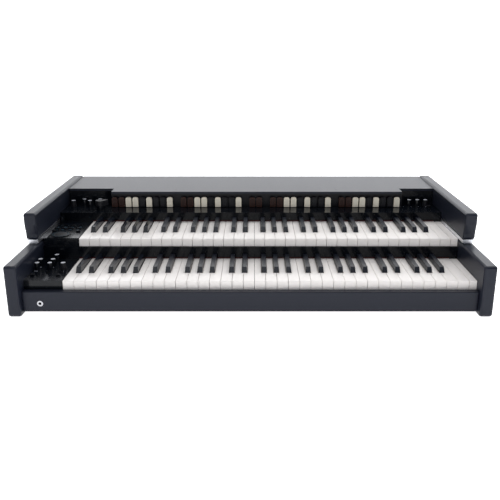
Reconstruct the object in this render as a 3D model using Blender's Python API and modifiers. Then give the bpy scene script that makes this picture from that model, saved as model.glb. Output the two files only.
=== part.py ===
"""Two-manual drawbar organ with waterfall keyboards, in metres with +Z up.

The origin is on the floor under the middle of the case, and the player sits on the -Y side.
The lowest octave of each manual plays: its keys are hollow mouldings that hook on the fulcrum
rod of their keybed, stop on guide posts inside the keys, and have their origins on the rod.
The first set of nine drawbars slides through the slots of the drawbar unit.
"""
import math

import bmesh
import bpy
from mathutils import Matrix, Vector

# Clearances
GAP = 0.0003
KEY_GAP = 0.0009
KEY_END_CLEAR = 0.0006
NOTCH_CLEAR = 0.0012
SLIP_CLEAR = 0.0015
TRAY_CLEAR = 0.0042
SLOT_CLEAR = 0.0004
SHAFT_CLEAR = 0.0003
FUSE = 0.0006

# Case boards
CHEEK_T = 0.027
CHEEK_ROUND = 0.0045
LOWER_CHEEK_H = 0.1113
STRIP_FOOT_H = 0.0035
STRIP_FOOT_INSET = 0.005
STRIP_H = 0.0077
UPPER_CHEEK_H = 0.0611
UPPER_NOSE_H = 0.0125
UPPER_SLOPE_H = 0.022
UPPER_NOSE_SET = 0.005
UPPER_CHEEK_OVERLAP = 0.034
UPPER_CHEEK_BACK_ROUND = 0.010
TOE_ROUND = 0.008
BOARD_LIFT = 0.0064
BOARD_T = 0.019
RAIL_SETBACK = 0.0165
RAIL_T = 0.0165
RAIL_ROUND = 0.0015
BACK_PANEL_T = 0.003
PANEL_T = 0.002
COVER_T = 0.002
COVER_PROUD = 0.0046
COVER_LIP_H = 0.006
COVER_DEPTH = 0.197
COVER_SIDE_CUT = 0.037
COVER_RIGHT_SPARE = 0.0118

# Keys and their action
WHITE_KEYS = 36
WHITE_PITCH = 0.02357
WHITE_HEAD_L = 0.048
KEY_H = 0.020
KEY_ROUND = 0.0022
KEY_WALL = 0.0019
KEY_VISIBLE = 0.1455
KEY_FRONT_SHOW = 0.0177
KEY_PRESS_DEG = 3.0
BLACK_W = 0.0115
BLACK_TOP_W = 0.0093
BLACK_RISE = 0.0125
BLACK_SLOPE = 0.0045
PIVOT_BACK = 0.205
PIVOT_DROP = 0.010
KEY_TAIL = 0.0008
ROD_R = 0.002
ROD_SEAT = 0.0016
ACTION_H = 0.0424
TRAY_T = 0.002
TRAY_FLANGE_H = 0.0094
TRAY_SETBACK = 0.003
WHITE_POST_W = 0.010
BLACK_POST_W = 0.0045
POST_T = 0.004
POST_IN = 0.012
POST_CLEAR = 0.0006

# Side pieces of the manuals and the bare rail between them
SIDE_PANEL_W = 0.081
END_BLOCK_W = 0.01648
SIDE_PANEL_PROUD = 0.0012
RAIL_CLEAR = 0.0015
NAME_RAIL_T = 0.0044
NAME_RAIL_FOOT = 0.035

# Control panel and top deck
FASCIA_H = 0.0235
FASCIA_LIP = 0.0012
DECK_DEPTH = 0.0515
RISER_T = 0.002

# Drawbars
DRAWBAR_PITCH = 0.01754
DRAWBARS_FROM_KEYS = 0.0446
DRAWBAR_SLOTS = 42
DRAWBAR_SPACES = (9, 19, 22, 32)
PLAYING_DRAWBARS = 9
DRAWBAR_TRAVEL = 0.036
DRAWBAR_STOPS = 8
CAP_W = 0.0142
CAP_H = 0.0246
CAP_T = 0.006
CAP_ROUND = 0.0045
CAP_LIFT = 0.0012
STEM_W = 0.0064
STEM_H = 0.008
STEM_L = 0.0065
ARM_T = 0.002
ARM_STOP_H = 0.004
NOTCH_D = 0.001
UNIT_T = 0.0015
UNIT_H = 0.034
UNIT_SHIELD_L = 0.066

# Controls
KNOB_R = 0.0066
KNOB_TOP_R = 0.0056
KNOB_H = 0.0155
KNOB_SHAFT_R = 0.003
KNOB_SHAFT_L = 0.008
BUTTON_W = 0.009
BUTTON_D = 0.006
BUTTON_H = 0.0035
BUTTON_STEM_W = 0.004
BUTTON_STEM_L = 0.006
BUTTON_TRAVEL = 0.0015
DIAL_R = 0.0225
DIAL_H = 0.0015
MOON_R = 0.0115
MOON_TIP_R = 0.020
MOON_TIP_DEG = 25.0
MOON_H = 0.013
MOON_NECK_R = 0.0105
MOON_NECK_H = 0.010

# Places of the controls, as (from the panel's left or right end, from its front)
LOWER_KNOBS = ((0.0085, 0.0695), (0.036, 0.0695), (0.0085, 0.0945), (0.036, 0.0945), (0.036, 0.1255))
LOWER_PLAYING_KNOB = (0.065, 0.0695)
LOWER_BUTTONS = ((0.038, 0.0495), (0.065, 0.0495), (0.010, 0.029), (0.065, 0.029))
UPPER_KNOB = (0.010, 0.125)
UPPER_BUTTON_COLUMNS = (0.010, 0.026, 0.0435, 0.062)
UPPER_BUTTON_ROWS = (0.073, 0.097)
UPPER_BUTTONS = ((0.010, 0.054), (0.067, 0.051))
DIAL_PLACE = (0.032, 0.0272)
DECK_LEFT_KNOBS = ((0.042, 0.0786), (0.060, 0.0626), (0.083, 0.0786))
DECK_LEFT_PLAYING_KNOB = (0.018, 0.0626)
DECK_RIGHT_KNOBS = ((0.066, 0.0706), (0.0445, 0.0706))
DECK_RIGHT_PLAYING_KNOB = (0.024, 0.0706)
DECK_RIGHT_BUTTONS = ((0.078, 0.0526), (0.058, 0.0526), (0.039, 0.0526))
DECK_PLAYING_BUTTON = (0.020, 0.0526)
MOON_AT = (0.093, 0.0326)

# Sockets and electronics
JACK_BORE_R = 0.0032
JACK_BORE_L = 0.024
JACK_BARREL_R = 0.0048
JACK_NUT_R = 0.0066
JACK_NUT_T = 0.0018
JACK_BODY_W = 0.014
JACK_BODY_L = 0.030
JACK_FROM_SIDE = 0.0366
JACK_UP = 0.0190
REAR_JACKS = 3
REAR_JACK_PITCH = 0.028
PCB_T = 0.0016
PCB_W = 0.260
PCB_D = 0.120
PCB_POST_R = 0.004
PCB_POST_H = 0.008
PCB_FROM_LEFT = 0.110
CHIPS = ((0.060, 0.030, 0.030), (0.120, 0.015, 0.030), (0.170, 0.030, 0.015))
CHIP_BACK = 0.065
CHIP_TOP = 0.004
SUPPLY_W = 0.150
SUPPLY_D = 0.090
SUPPLY_H = 0.040
SUPPLY_T = 0.0015
SUPPLY_FROM_RIGHT = 0.060
INLET_W = 0.027
INLET_H = 0.020
INLET_D = 0.024
INLET_WALL = 0.002
INLET_PIN_W = 0.002
INLET_PIN_H = 0.004
INLET_PIN_SET = 0.006
INLET_PIN_PITCH = 0.007
SWITCH_W = 0.013
SWITCH_DEPTH = 0.009
SWITCH_ROCK_DEG = 12.0
VENT_SLOTS = 12
VENT_W = 0.004
VENT_H = 0.030
VENT_PITCH = 0.012

# Places worked out from the sizes above
KEYS_W = WHITE_KEYS * WHITE_PITCH
INNER_W = SIDE_PANEL_W + KEYS_W + END_BLOCK_W
INNER_X = INNER_W / 2
SPAN_X = INNER_X - GAP
CASE_X = INNER_X + CHEEK_T
KEYS_X = -INNER_X + SIDE_PANEL_W
OCTAVE_W = 7 * WHITE_PITCH
STEP_BACK = KEY_VISIBLE + NAME_RAIL_T + SLIP_CLEAR
STEP_UP = ACTION_H + TRAY_CLEAR
KEY_SETBACK = RAIL_SETBACK + RAIL_T + SLIP_CLEAR
FASCIA_BACK = KEY_SETBACK + STEP_BACK + KEY_VISIBLE
DEPTH = FASCIA_BACK + DECK_DEPTH + COVER_DEPTH
FRONT_Y = -DEPTH / 2
BACK_Y = DEPTH / 2
LOWER_FRONT_Y = FRONT_Y + KEY_SETBACK
UPPER_FRONT_Y = LOWER_FRONT_Y + STEP_BACK
LOWER_TOP_Z = BOARD_LIFT + BOARD_T + GAP + ACTION_H
UPPER_TOP_Z = LOWER_TOP_Z + STEP_UP
NAME_RAIL_Y = LOWER_FRONT_Y + KEY_VISIBLE
UPPER_CHEEK_Y = NAME_RAIL_Y - UPPER_CHEEK_OVERLAP
FASCIA_Y = FRONT_Y + FASCIA_BACK
DECK_Z = UPPER_TOP_Z + FASCIA_H
CAP_Y = FASCIA_Y + DECK_DEPTH
CHEEK_TOP_Z = LOWER_CHEEK_H + STRIP_FOOT_H + STRIP_H + UPPER_CHEEK_H
COVER_Z = CHEEK_TOP_Z - COVER_PROUD
COVER_UNDER_Z = COVER_Z - COVER_T
STRIP_FOOT_Z = LOWER_CHEEK_H + GAP
STRIP_Z = LOWER_CHEEK_H + STRIP_FOOT_H
UPPER_CHEEK_Z = STRIP_Z + STRIP_H
FIRST_DRAWBAR_X = KEYS_X + DRAWBARS_FROM_KEYS
LAST_DRAWBAR_X = FIRST_DRAWBAR_X + DRAWBAR_PITCH * (DRAWBAR_SLOTS - 1)
COVER_MIDDLE_X = (FIRST_DRAWBAR_X - CAP_W / 2, LAST_DRAWBAR_X + COVER_RIGHT_SPARE)
UNIT_X = (COVER_MIDDLE_X[0] - 2 * UNIT_T, COVER_MIDDLE_X[1] + 2 * UNIT_T)
UNIT_Y = CAP_Y + CAP_T + STEM_L + GAP
UNIT_BACK_Y = UNIT_Y + UNIT_SHIELD_L
CAP_Z = DECK_Z + CAP_LIFT
ARM_Z = CAP_Z + CAP_H / 2
BACK_PANEL_Y = BACK_Y - BACK_PANEL_T
BOARD_TOP_Z = BOARD_LIFT + BOARD_T
JACK_X = -INNER_X + JACK_FROM_SIDE
JACK_Z = BOARD_LIFT + JACK_UP
REAR_JACK_Z = BOARD_TOP_Z + GAP + PCB_POST_H + PCB_T + JACK_BODY_W / 2
REAR_JACK_XS = [-INNER_X + PCB_FROM_LEFT + PCB_W / 2 + (i - (REAR_JACKS - 1) / 2) * REAR_JACK_PITCH
                for i in range(REAR_JACKS)]
INLET_HALF_W = (INLET_W + SWITCH_W) / 2
INLET_X = INNER_X - SUPPLY_FROM_RIGHT - SUPPLY_W / 2
INLET_Z = BOARD_TOP_Z + 2 * INLET_H
MOON_PLACE = (-INNER_X + MOON_AT[0], FASCIA_Y + MOON_AT[1])

ORGAN = bpy.data.collections.new("drawbar_organ")
SHAPERS = bpy.data.collections.new("shapers")
for old in list(bpy.data.objects):
    bpy.data.objects.remove(old)
for group in (ORGAN, SHAPERS):
    bpy.context.scene.collection.children.link(group)

# An outline's two directions, and its thickness, laid on the world's axes
TURNS = {
    "X": Matrix(((0, 0, 1, 0), (1, 0, 0, 0), (0, 1, 0, 0), (0, 0, 0, 1))),
    "Y": Matrix(((1, 0, 0, 0), (0, 0, -1, 0), (0, 1, 0, 0), (0, 0, 0, 1))),
    "Z": Matrix.Identity(4),
}
AXES = {"X": Vector((1, 0, 0)), "Y": Vector((0, 1, 0)), "Z": Vector((0, 0, 1))}


def finish(name, color, roughness, metallic=0.0):
    """Makes one of the organ's materials."""
    material = bpy.data.materials.new(name)
    material.use_nodes = True
    shader = material.node_tree.nodes["Principled BSDF"]
    shader.inputs["Base Color"].default_value = (*color, 1.0)
    shader.inputs["Roughness"].default_value = roughness
    shader.inputs["Metallic"].default_value = metallic
    return material


CABINET = finish("cabinet_lacquer", (0.035, 0.036, 0.052), 0.45)
GLOSS = finish("gloss_black", (0.008, 0.009, 0.012), 0.12)
IVORY = finish("white_key", (0.86, 0.84, 0.80), 0.25)
EBONY = finish("black_key", (0.006, 0.007, 0.012), 0.22)
CREAM = finish("cream_cap", (0.88, 0.84, 0.72), 0.35)
BROWN = finish("brown_cap", (0.045, 0.018, 0.012), 0.35)
JET = finish("black_cap", (0.008, 0.008, 0.010), 0.35)
STEEL = finish("tray_steel", (0.42, 0.43, 0.45), 0.4, 1.0)
STRIP = finish("strip_aluminium", (0.70, 0.71, 0.73), 0.35, 1.0)
CHROME = finish("socket_chrome", (0.75, 0.75, 0.76), 0.15, 1.0)
PLASTIC = finish("black_plastic", (0.012, 0.012, 0.014), 0.4)
BOARD = finish("circuit_board", (0.02, 0.12, 0.05), 0.5)
FIBRE = finish("bottom_board", (0.10, 0.075, 0.05), 0.8)


def mesh_of(shape, name):
    """Turns a bmesh into a mesh whose faces point outwards."""
    bmesh.ops.recalc_face_normals(shape, faces=shape.faces)
    mesh = bpy.data.meshes.new(name)
    shape.to_mesh(mesh)
    shape.free()
    return mesh


def add_block(shape, x, y, z):
    """Adds a box to a bmesh between three pairs of limits."""
    size = Matrix.Diagonal((x[1] - x[0], y[1] - y[0], z[1] - z[0], 1.0))
    middle = Matrix.Translation((sum(x) / 2, sum(y) / 2, sum(z) / 2))
    bmesh.ops.create_cube(shape, size=1.0, matrix=middle @ size)


def blocks(name, limits):
    """Makes a mesh of boxes, each given by its three pairs of limits."""
    shape = bmesh.new()
    for x, y, z in limits:
        add_block(shape, x, y, z)
    return mesh_of(shape, name)


def prism(name, outlines, low, high, axis):
    """Makes a flat outline, with any holes in it, into a solid between two places on an axis."""
    curve = bpy.data.curves.new(name, "CURVE")
    curve.dimensions = "2D"
    curve.fill_mode = "BOTH"
    curve.extrude = (high - low) / 2
    for outline in outlines:
        spline = curve.splines.new("POLY")
        spline.points.add(len(outline) - 1)
        for point, (across, up) in zip(spline.points, outline):
            point.co = (across, up, 0.0, 1.0)
        spline.use_cyclic_u = True
    guide = bpy.data.objects.new(name, curve)
    flat = bpy.data.meshes.new_from_object(guide)
    bpy.data.objects.remove(guide)
    shape = bmesh.new()
    shape.from_mesh(flat)
    bmesh.ops.remove_doubles(shape, verts=shape.verts, dist=1e-6)
    bmesh.ops.dissolve_limit(shape, angle_limit=math.radians(0.5), verts=shape.verts, edges=shape.edges)
    place = Matrix.Translation(AXES[axis] * (low + high) / 2) @ TURNS[axis]
    bmesh.ops.transform(shape, matrix=place, verts=shape.verts)
    return mesh_of(shape, name)


def turned(name, profile, steps):
    """Turns a profile of (radius, height) points about Z, from the top down the outer side."""
    mesh = bpy.data.meshes.new(name)
    edges = [(i, i + 1) for i in range(len(profile) - 1)]
    mesh.from_pydata([(radius, 0.0, height) for radius, height in profile], edges, [])
    guide = bpy.data.objects.new(name, mesh)
    SHAPERS.objects.link(guide)
    screw = guide.modifiers.new("turn", "SCREW")
    screw.steps = steps
    screw.render_steps = steps
    screw.use_merge_vertices = True
    screw.merge_threshold = 0.00001
    graph = bpy.context.evaluated_depsgraph_get()
    shape = bmesh.new()
    shape.from_mesh(bpy.data.meshes.new_from_object(guide.evaluated_get(graph)))
    bpy.data.objects.remove(guide)
    bmesh.ops.remove_doubles(shape, verts=shape.verts, dist=1e-6)
    return mesh_of(shape, name)


def arc(centre, radius, start, end, steps):
    """Gives points along an arc, its angles in degrees."""
    angles = [math.radians(start + (end - start) * i / steps) for i in range(steps + 1)]
    return [(centre[0] + radius * math.cos(a), centre[1] + radius * math.sin(a)) for a in angles]


def gathered(name, pieces):
    """Copies meshes, each with a matrix, into one mesh."""
    shape = bmesh.new()
    for mesh, place in pieces:
        part = bmesh.new()
        part.from_mesh(mesh)
        bmesh.ops.transform(part, matrix=place, verts=part.verts)
        placed = bpy.data.meshes.new(name)
        part.to_mesh(placed)
        part.free()
        shape.from_mesh(placed)
    return mesh_of(shape, name)


def piece(name, mesh, material, place=(0.0, 0.0, 0.0), smooth=False):
    """Makes one sub-part of the organ."""
    made = bpy.data.objects.new(name, mesh)
    made.location = place
    if not mesh.materials:
        mesh.materials.append(material)
    if smooth:
        mesh.shade_smooth()
        mesh.set_sharp_from_angle(angle=math.radians(35))
    ORGAN.objects.link(made)
    return made


def shaper(name, mesh, place=(0.0, 0.0, 0.0)):
    """Makes a guide that only cuts or joins."""
    made = bpy.data.objects.new(name, mesh)
    made.location = place
    made.hide_render = True
    made.display_type = "WIRE"
    SHAPERS.objects.link(made)
    return made


def combine(target, other, operation):
    """Cuts a guide out of a piece, or joins it to the piece."""
    boolean = target.modifiers.new(other.name, "BOOLEAN")
    boolean.operation = operation
    boolean.object = other
    boolean.solver = "EXACT"


def bevel(target, width, segments, angle=40.0):
    """Rounds a piece's sharp edges."""
    rounding = target.modifiers.new("rounding", "BEVEL")
    rounding.width = width
    rounding.segments = segments
    rounding.limit_method = "ANGLE"
    rounding.angle_limit = math.radians(angle)


def build_cheeks():
    """Makes the lower and upper cheek boards and the light strips between them."""
    lower_outline = [(FRONT_Y + TOE_ROUND, 0.0), (BACK_Y, 0.0), (BACK_Y, LOWER_CHEEK_H),
                     (FRONT_Y, LOWER_CHEEK_H)]
    lower_outline += arc((FRONT_Y + TOE_ROUND, TOE_ROUND), TOE_ROUND, 180, 270, 3)[:-1]
    nose_z = UPPER_CHEEK_Z + GAP
    slope_z = nose_z + UPPER_NOSE_H
    corner = (BACK_Y - UPPER_CHEEK_BACK_ROUND, CHEEK_TOP_Z - UPPER_CHEEK_BACK_ROUND)
    upper_outline = [(UPPER_CHEEK_Y + UPPER_NOSE_SET, nose_z), (BACK_Y, nose_z)]
    upper_outline += arc(corner, UPPER_CHEEK_BACK_ROUND, 0, 90, 3)
    upper_outline += [(UPPER_CHEEK_Y, CHEEK_TOP_Z), (UPPER_CHEEK_Y, slope_z + UPPER_SLOPE_H),
                      (UPPER_CHEEK_Y + UPPER_NOSE_SET, slope_z)]
    strip_y = UPPER_CHEEK_Y + UPPER_NOSE_SET
    for side, sign in (("left", -1), ("right", 1)):
        low, high = sorted((sign * INNER_X, sign * CASE_X))
        lower = prism(f"lower_cheek_{side}", [lower_outline], low, high, "X")
        bevel(piece(f"lower_cheek_{side}", lower, CABINET), CHEEK_ROUND, 2)
        upper = prism(f"upper_cheek_{side}", [upper_outline], low, high, "X")
        bevel(piece(f"upper_cheek_{side}", upper, CABINET), CHEEK_ROUND, 2)
        strip = piece(f"cheek_strip_{side}", blocks("strip", [
            ((low, high), (strip_y, BACK_Y), (STRIP_Z, UPPER_CHEEK_Z))]), STRIP)
        foot = shaper(f"strip_foot_{side}", blocks("foot", [
            ((low + STRIP_FOOT_INSET, high - STRIP_FOOT_INSET),
             (strip_y + STRIP_FOOT_INSET, BACK_Y - STRIP_FOOT_INSET),
             (STRIP_FOOT_Z, STRIP_Z + FUSE))]))
        combine(strip, foot, "UNION")


def build_case():
    """Makes the bottom board, the front rail, the bare rail between the manuals and the cover."""
    board = blocks("bottom_board", [((-SPAN_X, SPAN_X),
                                     (FRONT_Y + RAIL_SETBACK + RAIL_T + GAP, BACK_PANEL_Y - GAP),
                                     (BOARD_LIFT, BOARD_TOP_Z))])
    base = piece("bottom_board", board, FIBRE)
    room_r = JACK_BARREL_R + SLIP_CLEAR
    rail_back = FRONT_Y + RAIL_SETBACK + RAIL_T
    room = shaper("jack_room", blocks("jack_room", [
        ((JACK_X - room_r, JACK_X + room_r),
         (rail_back, FRONT_Y + RAIL_SETBACK + JACK_BODY_L + SLIP_CLEAR),
         (JACK_Z - room_r, JACK_Z + room_r))]))
    combine(base, room, "DIFFERENCE")
    rail_top = LOWER_TOP_Z - KEY_FRONT_SHOW
    rail = piece("front_rail", blocks("front_rail", [
        ((-SPAN_X, SPAN_X), (FRONT_Y + RAIL_SETBACK, FRONT_Y + RAIL_SETBACK + RAIL_T),
         (BOARD_LIFT, rail_top))]), CABINET)
    bevel(rail, RAIL_ROUND, 2)
    hole = turned("jack_hole", [(0, RAIL_T * 2), (JACK_BARREL_R + GAP, RAIL_T * 2),
                                (JACK_BARREL_R + GAP, -RAIL_T), (0, -RAIL_T)], 16)
    hole.transform(TURNS["Y"])
    combine(rail, shaper("front_jack_hole", hole, (JACK_X, FRONT_Y + RAIL_SETBACK + RAIL_T, JACK_Z)),
            "DIFFERENCE")
    rail_low = LOWER_TOP_Z + RAIL_CLEAR
    tray_under = UPPER_TOP_Z - ACTION_H
    rail_back = NAME_RAIL_Y + NAME_RAIL_T
    outline = [(NAME_RAIL_Y, rail_low), (rail_back + NAME_RAIL_FOOT, rail_low),
               (rail_back + NAME_RAIL_FOOT, tray_under - GAP), (rail_back, tray_under - GAP),
               (rail_back, UPPER_TOP_Z - KEY_FRONT_SHOW), (NAME_RAIL_Y, UPPER_TOP_Z - KEY_FRONT_SHOW)]
    piece("name_rail", prism("name_rail", [outline], -SPAN_X, SPAN_X, "X"), GLOSS)
    left, right = COVER_MIDDLE_X
    side_y = CAP_Y + COVER_SIDE_CUT
    sheet_z = (COVER_UNDER_Z, COVER_Z)
    cover = piece("top_cover", blocks("top_cover", [((-SPAN_X, SPAN_X), (side_y, BACK_Y), sheet_z)]),
                  CABINET)
    brow = blocks("cover_brow", [((left, right), (CAP_Y, side_y + COVER_T), sheet_z)])
    combine(cover, shaper("cover_brow", brow), "UNION")
    lip_z = (COVER_Z - COVER_LIP_H, COVER_UNDER_Z + COVER_T / 2)
    lips = [((-SPAN_X + GAP, left - FUSE), (side_y + GAP, side_y + COVER_T), lip_z),
            ((left + GAP, right - GAP), (CAP_Y + GAP, CAP_Y + COVER_T), lip_z),
            ((right + FUSE, SPAN_X - GAP), (side_y + GAP, side_y + COVER_T), lip_z)]
    combine(cover, shaper("cover_lips", blocks("cover_lips", lips)), "UNION")


def build_back():
    """Makes the back panel with its vents, and its cut-outs for the sockets and the switch."""
    panel = piece("back_panel", blocks("back_panel", [
        ((-SPAN_X, SPAN_X), (BACK_PANEL_Y, BACK_Y), (BOARD_LIFT, COVER_UNDER_Z - GAP))]), CABINET)
    through = (BACK_PANEL_Y - BACK_PANEL_T, BACK_Y + BACK_PANEL_T)
    vent_z = COVER_UNDER_Z - 2 * VENT_H
    cuts = [((-INLET_HALF_W - GAP + INLET_X, INLET_HALF_W + GAP + INLET_X), through,
             (INLET_Z - INLET_H / 2 - GAP, INLET_Z + INLET_H / 2 + GAP))]
    for side in (-1, 1):
        for slot in range(VENT_SLOTS):
            x = side * INNER_X / 2 + (slot - (VENT_SLOTS - 1) / 2) * VENT_PITCH
            cuts.append(((x - VENT_W / 2, x + VENT_W / 2), through, (vent_z, vent_z + VENT_H)))
    combine(panel, shaper("back_cuts", blocks("back_cuts", cuts)), "DIFFERENCE")
    bore = turned("rear_jack_hole", [(0, 2 * BACK_PANEL_T), (JACK_BARREL_R + GAP, 2 * BACK_PANEL_T),
                                     (JACK_BARREL_R + GAP, -BACK_PANEL_T), (0, -BACK_PANEL_T)], 16)
    places = [(bore, Matrix.Translation((x, BACK_Y, REAR_JACK_Z)) @ TURNS["Y"]) for x in REAR_JACK_XS]
    combine(panel, shaper("rear_jack_holes", gathered("rear_jack_holes", places)), "DIFFERENCE")


def jack_profile(nut):
    """Gives half the section of a jack socket: its mouth is up, at height 0."""
    mouth = [(JACK_BORE_R, -JACK_BORE_L), (JACK_BORE_R, 0.0)]
    rim = [(JACK_BARREL_R, 0.0)]
    if nut:
        mouth = [(JACK_BORE_R, -JACK_BORE_L), (JACK_BORE_R, JACK_NUT_T)]
        rim = [(JACK_NUT_R - FUSE, JACK_NUT_T), (JACK_NUT_R, JACK_NUT_T - FUSE), (JACK_NUT_R, GAP),
               (JACK_BARREL_R, GAP)]
    return [(0.0, -JACK_BORE_L)] + mouth + rim + [(JACK_BARREL_R, -JACK_BODY_L), (0.0, -JACK_BODY_L)]


def build_sockets():
    """Makes the headphone socket, the main board with its output sockets, and the power supply."""
    facing_player = Matrix.Rotation(math.radians(90), 4, "X")
    facing_back = Matrix.Rotation(math.radians(-90), 4, "X")
    jack = turned("headphone_jack", jack_profile(True), 16)
    jack.transform(facing_player)
    piece("headphone_jack", jack, CHROME, (JACK_X, FRONT_Y + RAIL_SETBACK, JACK_Z), smooth=True)
    board_z = BOARD_TOP_Z + GAP + PCB_POST_H
    board_y = BACK_PANEL_Y - GAP
    low_x = -INNER_X + PCB_FROM_LEFT
    board = piece("main_board", blocks("main_board", [
        ((low_x, low_x + PCB_W), (board_y - PCB_D, board_y), (board_z, board_z + PCB_T))]), BOARD)
    post = turned("board_post", [(0, PCB_POST_H + PCB_T / 2), (PCB_POST_R, PCB_POST_H + PCB_T / 2),
                                 (PCB_POST_R, 0), (0, 0)], 8)
    inset = 3 * PCB_POST_R
    posts = [(post, Matrix.Translation((x, y, BOARD_TOP_Z + GAP)))
             for x in (low_x + inset, low_x + PCB_W - inset)
             for y in (board_y - PCB_D + inset, board_y - JACK_BODY_L - inset)]
    combine(board, shaper("board_posts", gathered("board_posts", posts)), "UNION")
    chip_z = (board_z + FUSE, board_z + CHIP_TOP)
    chips = [((low_x + x, low_x + x + wide), (board_y - CHIP_BACK - deep, board_y - CHIP_BACK), chip_z)
             for x, wide, deep in CHIPS]
    bodies = [((x - JACK_BODY_W / 2, x + JACK_BODY_W / 2), (board_y - JACK_BODY_L, board_y - FUSE),
               (board_z + FUSE, REAR_JACK_Z + JACK_BODY_W / 2)) for x in REAR_JACK_XS]
    combine(board, shaper("board_parts", blocks("board_parts", chips + bodies)), "UNION")
    barrel = turned("rear_barrel", [(0, 0), (JACK_BARREL_R, 0), (JACK_BARREL_R, -JACK_BODY_L / 2),
                                    (0, -JACK_BODY_L / 2)], 16)
    hole = turned("rear_bore", [(0, FUSE), (JACK_BORE_R, FUSE), (JACK_BORE_R, -JACK_BORE_L),
                                (0, -JACK_BORE_L)], 12)
    for name, mesh, operation in (("rear_barrels", barrel, "UNION"), ("rear_bores", hole, "DIFFERENCE")):
        places = [(mesh, Matrix.Translation((x, BACK_Y, REAR_JACK_Z)) @ facing_back) for x in REAR_JACK_XS]
        combine(board, shaper(name, gathered(name, places)), operation)
    supply_x = INNER_X - SUPPLY_FROM_RIGHT
    supply_y = BACK_PANEL_Y - INLET_D - 0.02
    supply = piece("power_supply", blocks("power_supply", [
        ((supply_x - SUPPLY_W, supply_x), (supply_y - SUPPLY_D, supply_y),
         (BOARD_TOP_Z + GAP, BOARD_TOP_Z + GAP + SUPPLY_H))]), STEEL)
    bevel(supply, SUPPLY_T, 1)


def build_inlet():
    """Makes the mains inlet, whose second window holds the rocker of the power switch."""
    body = ((INLET_X - INLET_HALF_W, INLET_X + INLET_HALF_W), (BACK_Y - INLET_D, BACK_Y - FUSE),
            (INLET_Z - INLET_H / 2, INLET_Z + INLET_H / 2))
    inlet = piece("power_inlet", blocks("power_inlet", [body]), PLASTIC)
    socket_x = INLET_X - SWITCH_W / 2
    rocker_x = INLET_X + INLET_W / 2 - INLET_WALL / 2
    socket_half = INLET_W / 2 - INLET_WALL
    rocker_half = (SWITCH_W - INLET_WALL) / 2 - INLET_WALL / 4
    floor_y = BACK_Y - INLET_D + 2 * INLET_WALL
    window_z = (INLET_Z - INLET_H / 2 + INLET_WALL, INLET_Z + INLET_H / 2 - INLET_WALL)
    recess = [((socket_x - socket_half, socket_x + socket_half), (floor_y, BACK_Y), window_z),
              ((rocker_x - rocker_half, rocker_x + rocker_half), (floor_y, BACK_Y), window_z)]
    combine(inlet, shaper("inlet_recess", blocks("inlet_recess", recess)), "DIFFERENCE")
    pins = []
    for across, up in ((-1, 0), (0, 1), (1, 0)):
        x = socket_x + across * INLET_PIN_PITCH
        z = INLET_Z + up * INLET_PIN_H - INLET_PIN_H / 2
        pins.append(((x - INLET_PIN_W / 2, x + INLET_PIN_W / 2), (floor_y - FUSE, BACK_Y - INLET_PIN_SET),
                     (z, z + INLET_PIN_H)))
    combine(inlet, shaper("inlet_pins", blocks("inlet_pins", pins)), "UNION")
    half_h = INLET_H / 2 - INLET_WALL - 2 * FUSE
    crown = SWITCH_DEPTH - INLET_WALL
    outline = [(-INLET_WALL / 2, -half_h / 2), (crown - SLIP_CLEAR, -half_h), (crown, 0.0),
               (crown - SLIP_CLEAR, half_h), (-INLET_WALL / 2, half_h / 2)]
    rocker = prism("power_switch", [outline], -rocker_half + GAP, rocker_half - GAP, "X")
    rocker.transform(Matrix.Rotation(math.radians(-SWITCH_ROCK_DEG / 2), 4, "X"))
    piece("power_switch", rocker, PLASTIC, (rocker_x, BACK_Y - SWITCH_DEPTH, INLET_Z))


def white_tail(step):
    """Gives a white key's tail limits from the left edge of its head's cell, by its place in the octave."""
    group, place, whites = (0, step, 3) if step < 3 else (3, step - 3, 4)
    blacks = whites - 1
    black_cell = BLACK_W + KEY_GAP
    tail_w = (whites * WHITE_PITCH - blacks * black_cell) / whites
    left = place * (tail_w + black_cell) - place * WHITE_PITCH
    return left, left + tail_w


def black_middle(step):
    """Gives the middle of the black key right of a white key, from the left edge of the octave."""
    return step * WHITE_PITCH + white_tail(step)[1] + (BLACK_W + KEY_GAP) / 2


def white_key_mesh(name, step, back, top_key=False):
    """Makes a white key as a solid, its middle at x 0 and its fulcrum at the origin."""
    half = WHITE_PITCH / 2
    head = (-half + KEY_GAP / 2, half - KEY_GAP / 2)
    tail_left, tail_right = (0.0, WHITE_PITCH) if top_key else white_tail(step)
    tail = (max(tail_left - half + KEY_GAP / 2, head[0]), min(tail_right - half - KEY_GAP / 2, head[1]))
    front = -PIVOT_BACK
    notch = front + WHITE_HEAD_L
    plan = [(head[0], front), (head[1], front)]
    if tail[1] < head[1] - FUSE:
        plan += [(head[1], notch), (tail[1], notch)]
    plan += [(min(tail[1], head[1]), back), (max(tail[0], head[0]), back)]
    if tail[0] > head[0] + FUSE:
        plan += [(tail[0], notch), (head[0], notch)]
    top = PIVOT_DROP
    mesh = prism(name, [plan], top - KEY_H, top, "Z")
    shape = bmesh.new()
    shape.from_mesh(mesh)
    edges = [edge for edge in shape.edges
             if all(abs(v.co.y - front) < 1e-6 and abs(v.co.z - top) < 1e-6 for v in edge.verts)]
    bmesh.ops.bevel(shape, geom=edges, offset=KEY_ROUND, segments=2, profile=0.5, affect="EDGES")
    return mesh_of(shape, name)


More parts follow.
